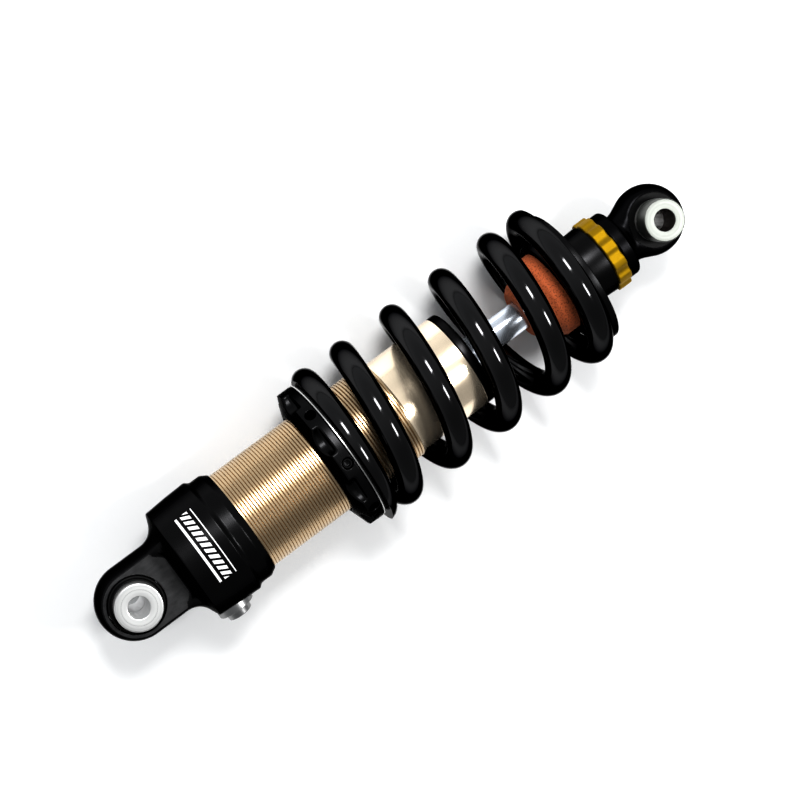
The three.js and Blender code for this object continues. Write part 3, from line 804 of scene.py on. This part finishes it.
def coil_spring(name):
    """Round wire swept along a left-hand helix, ground flat at both ends."""
    total, along = spring_line()
    per_turn, sides = ((96, 40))
    steps = round(total * per_turn)
    turns = total * np.arange(steps + 1) / steps
    angle = 2 * math.pi / 3 + 2 * math.pi * turns
    mean, wire = SPRING["mean"], SPRING["wire"]
    centre = np.stack([along(turns), mean * np.cos(angle), -mean * np.sin(angle)], 1)
    outward = np.stack([np.zeros(steps + 1), np.cos(angle), -np.sin(angle)], 1)
    ahead = np.gradient(centre, axis=0)
    ahead /= np.linalg.norm(ahead, axis=1)[:, None]
    sideways = np.cross(ahead, outward)
    round_wire = 2 * math.pi * np.arange(sides) / sides
    outwards = np.cos(round_wire)[None, :, None] * outward[:, None]
    sidewards = np.sin(round_wire)[None, :, None] * sideways[:, None]
    vertices = centre[:, None] + wire * (outwards + sidewards)
    faces = []
    for i in range(steps):
        for k in range(sides):
            m = (k + 1) % sides
            faces.append((i * sides + k, i * sides + m, (i + 1) * sides + m, (i + 1) * sides + k))
    faces.append(tuple(range(sides)))
    faces.append(tuple(steps * sides + k for k in range(sides)))
    piece = piece_from(name, vertices.reshape(-1, 3), faces, 35)
    bm = bmesh.new()
    bm.from_mesh(piece.data)
    for x, way in ((SPRING_START, -1), (SPRING_END, 1)):
        everything = bm.verts[:] + bm.edges[:] + bm.faces[:]
        cut = bmesh.ops.bisect_plane(
            bm, geom=everything, plane_co=(x * MM, 0, 0), plane_no=(way, 0, 0), clear_outer=True
        )
        rim = [e for e in cut["geom_cut"] if isinstance(e, bmesh.types.BMEdge) and e.is_boundary]
        bmesh.ops.holes_fill(bm, edges=rim, sides=0)
    bmesh.ops.triangulate(bm, faces=[f for f in bm.faces if len(f.verts) > 4])
    bm.to_mesh(piece.data)
    bm.free()
    piece.data.shade_smooth()
    piece.data.set_sharp_from_angle(angle=math.radians(30))
    return piece


spring = dress(coil_spring("spring_wound"), "spring_perch", "gloss_black_spring", "spring")
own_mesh(spring)

# ---- rod, bump stop, seat and retainer ----

rod = lathe(
    "rod_polished",
    [
        (122.0, ROD_BORE),
        (122.0, 5.0, 0.3),
        (150.0, 5.0),
        (150.0, ROD_RADIUS, 0.4),
        (COLLAR_END, ROD_RADIUS, 0.3),
        (COLLAR_END, ROD_BORE),
    ],
    sides=96,
)
dress(rod, "rod_assembly", "chrome_rod", "rod")

nose, base = span("bump_stop")
bump_radius = reach("bump_stop")
bump_stop = lathe(
    "bump_stop_foam",
    [
        (nose, 7.4, 0.6),
        (nose, 11.6, 1.6),
        (nose + 2.4, 14.0, 2.2),
        (nose + 7.0, 16.0, 1.4),
        (nose + 9.2, 16.2, 1.6),
        (nose + 13.0, bump_radius, 1.8),
        (base, bump_radius, 0.6),
        (base, 7.4),
    ],
)
dress(bump_stop, "rod_assembly", "foam", "bump_stop")
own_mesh(bump_stop)

seat_end = span("spring_seat")[1]
seat = lathe(
    "spring_seat_turned",
    [
        (238.0, 20.9, 0.3),
        (238.0, 24.0, 0.8),
        (244.1, 27.0, 1.5),
        (247.1, 27.0, 0.3),
        (247.1, 34.0, 0.35),
        (seat_end, 34.0, 0.45),
        (seat_end, AROUND_ROD),
        (242.9, AROUND_ROD),
        (242.9, 20.9),
    ],
    sides=192,
)
dress(seat, "rod_assembly", "black_anodised", "spring_seat")

retainer = lathe(
    "seat_retainer_turned",
    [
        (RETAINER_START, AROUND_ROD),
        (RETAINER_START, 15.0, 0.3),
        (RETAINER_START + 2.5, 16.9, 0.8),
        (RETAINER_END, 17.5, 0.5),
        (RETAINER_END, AROUND_ROD),
    ],
)
dress(retainer, "rod_assembly", "black_anodised", "seat_retainer")

# ---- rebound adjuster ring ----

ADJUSTER_WALL = Turned(
    [
        (ADJUSTER_START, 12.8, 0.2),
        (ADJUSTER_START, ADJUSTER_RADIUS, 0.7),
        (ADJUSTER_END, ADJUSTER_RADIUS, 0.7),
        (ADJUSTER_END, 12.8, 0.2),
    ]
)


def adjuster_distance(x, y, z):
    across, out = folded(y, z, 12)
    flute = np.hypot(across, out - ADJUSTER_RADIUS - 2.3) - 3.4
    return meet(ADJUSTER_WALL(x, np.hypot(y, z)), -flute, 1.1)


adjuster = net(
    "rebound_adjuster_fluted",
    adjuster_distance,
    (ADJUSTER_START - 0.4, -19, -19),
    (ADJUSTER_END + 0.4, 19, 19),
    0.26,
)
dress(adjuster, "adjuster_ring", "gold_anodised", "rebound_adjuster_ring")

# ---- rod end ----

ROD_END_WALL = Turned(
    [
        (ADJUSTER_START, -8),
        (ADJUSTER_START, 12.5),
        (COLLAR_START, 12.5),
        (COLLAR_START, 16.8, 0.7),
        (COLLAR_END - 0.5, 16.8, 1.9),
        (COLLAR_END, 14.6, 0.8),
        (COLLAR_END + 0.7, 12.2, 1.2),
        (EYE - 10, 11.2, 1.0),
        (EYE - 10, -8),
    ]
)


def rod_end_distance(x, y, z):
    ball = np.sqrt((x - EYE) ** 2 + y**2 + z**2) - HEAD_RADIUS
    head = meet(ball, np.abs(z) - HEAD_HALF, 1.6)
    stem = ROD_END_WALL(x, np.hypot(y, z))
    above = meet(HEAD_HALF - np.abs(z), COLLAR_END + 2.2 - x, 1.5)
    solid = join(meet(stem, -above, 2.2), head, 5.0)
    return meet(solid, HEAD_BORE - np.hypot(x - EYE, y), 0.1)


rod_end = net(
    "rod_end_forged",
    rod_end_distance,
    (ADJUSTER_START - 0.4, -17.4, -17.4),
    (EYE + HEAD_RADIUS + 0.4, 17.4, 17.4),
    0.3,
)
dress(rod_end, "rod_assembly", "black_anodised", "rod_end", skin=FORGED)

race = lathe(
    "rod_end_race_turned",
    [(-6.5, 12.7, 0.2), (-6.5, 8.2), (-3.2, 9.9), (0, 10.4), (3.2, 9.9), (6.5, 8.2), (6.5, 12.7, 0.2)],
    "Z",
    EYE,
    128,
)
dress(race, "rod_assembly", "bright_steel", "rod_end_race")

for end, side in (("top", 1), ("bottom", -1)):
    lip = lathe(
        f"rod_end_seal_{end}_lip",
        [
            (side * 6.8, 10.6),
            (side * 6.8, SEAL_OUTER),
            (side * 9.2, SEAL_OUTER, 0.15),
            (side * 8.9, 9.6, 0.2),
            (side * 8.3, 9.6, 0.2),
        ],
        "Z",
        EYE,
        128,
    )
    dress(lip, "rod_assembly", "black_rubber", f"rod_end_seal_{end}")
    spacer = lathe(
        f"rod_end_spacer_{end}_turned",
        [
            (side * 8.3, BOLT),
            (side * 8.3, 7.4, 0.2),
            (side * 12.1, SPACER_RADIUS, 0.5),
            (side * SPACER_HALF, SPACER_RADIUS, 0.6),
            (side * SPACER_HALF, BOLT, 0.4),
        ],
        "Z",
        EYE,
        128,
    )
    dress(spacer, "rod_eye_spacers", "bright_steel", f"rod_end_spacer_{end}", skin=SATIN)
    # the spacer's bore carries painted shade
    line_bore(spacer, EYE, BORE_PAINTED_SHADE)

# ---- camera, floor and light ----

CAMERA = Vector((-3.25, 210.0, 979.2)) * MM
TARGET = Vector((150.5, 1.33, 0.0)) * MM
LENS, ROLL = 99.85, math.radians(-36.52)

away = (TARGET - CAMERA).normalized()
level = (Vector((1, 0, 0)) - away * away.x).normalized()
upper = level.cross(away)
right = math.cos(ROLL) * level + math.sin(ROLL) * upper
up = math.cos(ROLL) * upper - math.sin(ROLL) * level

camera = bpy.data.objects.new("Camera", bpy.data.cameras.new("Camera"))
bpy.context.scene.collection.objects.link(camera)
camera.matrix_world = Matrix.Translation(CAMERA) @ Matrix((right, up, -away)).transposed().to_4x4()
camera.data.lens = LENS
camera.data.sensor_width = 36
bpy.context.scene.camera = camera

floor_mesh = bpy.data.meshes.new("Floor")
FLOOR_Z, FLOOR_HALF = -0.0402, 6.0
corners = [(-1, -1), (1, -1), (1, 1), (-1, 1)]
floor_mesh.from_pydata([(FLOOR_HALF * a, FLOOR_HALF * b, FLOOR_Z) for a, b in corners], [], [(0, 1, 2, 3)])
floor = bpy.data.objects.new("Floor", floor_mesh)
bpy.context.scene.collection.objects.link(floor)
studio_floor = finish("Studio_floor", (0.84, 0.84, 0.84), 0.0, 0.9, 0.02, shade=0.005, grain_size=4)
floor_mesh.materials.append(studio_floor)

world = bpy.data.worlds.new("Studio")
world.use_nodes = True
sky, sky_links = world.node_tree.nodes, world.node_tree.links
direction = sky.new("ShaderNodeTexCoord")
parts = sky.new("ShaderNodeSeparateXYZ")
strength = sky.new("ShaderNodeMath")
strength.operation = "MULTIPLY"
# pale walls under a greyer ceiling, darker towards -Y
for socket_index, (axis, *levels) in enumerate((("Z", 0.0, 0.6, 0.95, 0.72), ("Y", -0.7, 0.4, 0.45, 1.1))):
    glow = sky.new("ShaderNodeMapRange")
    glow.interpolation_type = "SMOOTHSTEP"
    for socket, value in zip(("From Min", "From Max", "To Min", "To Max"), levels):
        glow.inputs[socket].default_value = value
    sky_links.new(parts.outputs[axis], glow.inputs["Value"])
    sky_links.new(glow.outputs["Result"], strength.inputs[socket_index])
sky_links.new(direction.outputs["Generated"], parts.inputs["Vector"])
sky_links.new(strength.outputs["Value"], sky["Background"].inputs["Strength"])
sky["Background"].inputs["Color"].default_value = (0.96, 0.98, 1.0, 1)
bpy.context.scene.world = world
bpy.context.scene.view_settings.view_transform = "Standard"
bpy.context.scene.view_settings.gamma = 0.75


def softbox(name, rightward, upward, towards, width, height, watts):
    """An area light facing the target, placed from it in metres along the camera's own directions."""
    data = bpy.data.lights.new(name, "AREA")
    data.shape = "RECTANGLE"
    data.size, data.size_y, data.energy = width, height, watts
    lamp = bpy.data.objects.new(name, data)
    bpy.context.scene.collection.objects.link(lamp)
    place = TARGET + right * rightward + up * upward - away * towards
    back = (place - TARGET).normalized()
    along_x = (Vector((1, 0, 0)) - back * back.x).normalized()
    turn = Matrix((along_x, back.cross(along_x), back)).transposed()
    lamp.matrix_world = Matrix.Translation(place) @ turn.to_4x4()
    return lamp


softbox("Softbox_left", rightward=0.05, upward=0.42, towards=1.0, width=0.3, height=0.3, watts=10)
softbox("Softbox_right", rightward=0.95, upward=0.01, towards=1.0, width=0.28, height=0.38, watts=13)
